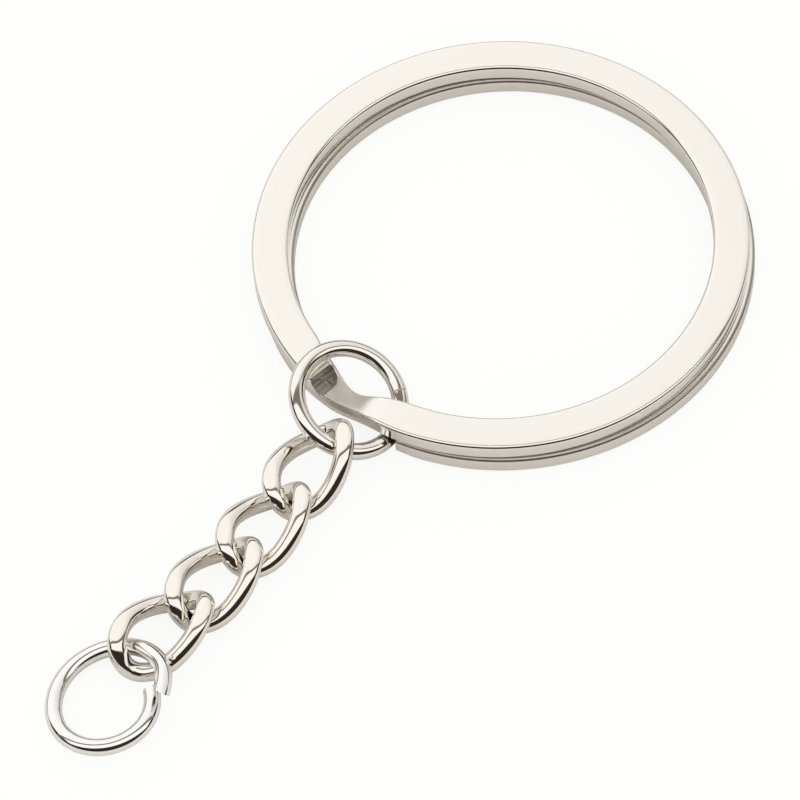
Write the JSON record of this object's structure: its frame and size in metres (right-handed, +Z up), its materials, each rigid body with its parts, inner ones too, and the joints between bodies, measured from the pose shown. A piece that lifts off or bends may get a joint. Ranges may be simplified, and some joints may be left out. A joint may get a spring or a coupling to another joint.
{
  "type": "split key ring",
  "caption": "Flat-wire split key ring carrying a short curb chain of twisted oval links, joined by open round-wire jump rings and laid out flat.",
  "frame": {"origin": "middle of the base of the object's box, on the surface that the object lies on", "axes": "+X along the chain from its free end towards the split ring, +Y across, +Z up out of the surface"},
  "size_m": [0.057, 0.0304, 0.0038],
  "materials": {
    "split_ring_nickel": "bright nickel plate on sprung steel strip",
    "jump_ring_nickel": "bright nickel plate on steel wire",
    "chain_nickel": "bright nickel plate on steel wire, slightly warm",
    "end_ring_nickel": "bright neutral nickel plate on steel wire"
  },
  "bodies": {
    "split_ring": {"split_ring": "split_ring_nickel"},
    "upper_jump_ring": {"upper_jump_ring": "jump_ring_nickel"},
    "chain_link_1": {"chain_link_1": "chain_nickel"},
    "chain_link_2": {"chain_link_2": "chain_nickel"},
    "chain_link_3": {"chain_link_3": "chain_nickel"},
    "chain_link_4": {"chain_link_4": "chain_nickel"},
    "end_jump_ring": {"end_jump_ring": "end_ring_nickel"}
  },
  "joints": [
    {"name": "upper_jump_ring_rock", "type": "hinge", "parent": "split_ring", "child": "upper_jump_ring", "pos_m": [-0.00088, 0.00061, 0.00192], "axis": [1, 0, 0], "range_deg": [-1, 85]},
    {"name": "link_1_swing", "type": "hinge", "parent": "upper_jump_ring", "child": "chain_link_1", "pos_m": [-0.00271, 0.00015, 0.00186], "axis": [-0.0501, 0.4705, -0.881], "range_deg": [-50, 60]},
    {"name": "link_2_swing", "type": "hinge", "parent": "chain_link_1", "child": "chain_link_2", "pos_m": [-0.00747, -0.00044, 0.00134], "axis": [-0.0299, 0.4589, -0.888], "range_deg": [-38, 46]},
    {"name": "link_3_lift", "type": "hinge", "parent": "chain_link_2", "child": "chain_link_3", "pos_m": [-0.01308, -0.00055, 0.00147], "axis": [-0.0299, 0.6281, 0.7776], "range_deg": [-34, 46]},
    {"name": "link_4_swing", "type": "hinge", "parent": "chain_link_3", "child": "chain_link_4", "pos_m": [-0.01666, -0.00034, 0.00155], "axis": [-0.15, 0.4099, -0.8997], "range_deg": [-30, 42]},
    {"name": "end_ring_swing", "type": "hinge", "parent": "chain_link_4", "child": "end_jump_ring", "pos_m": [-0.02249, 0.00036, 0.00128], "axis": [0.165, 0.4411, 0.8822], "range_deg": [-90, 3]}
  ]
}
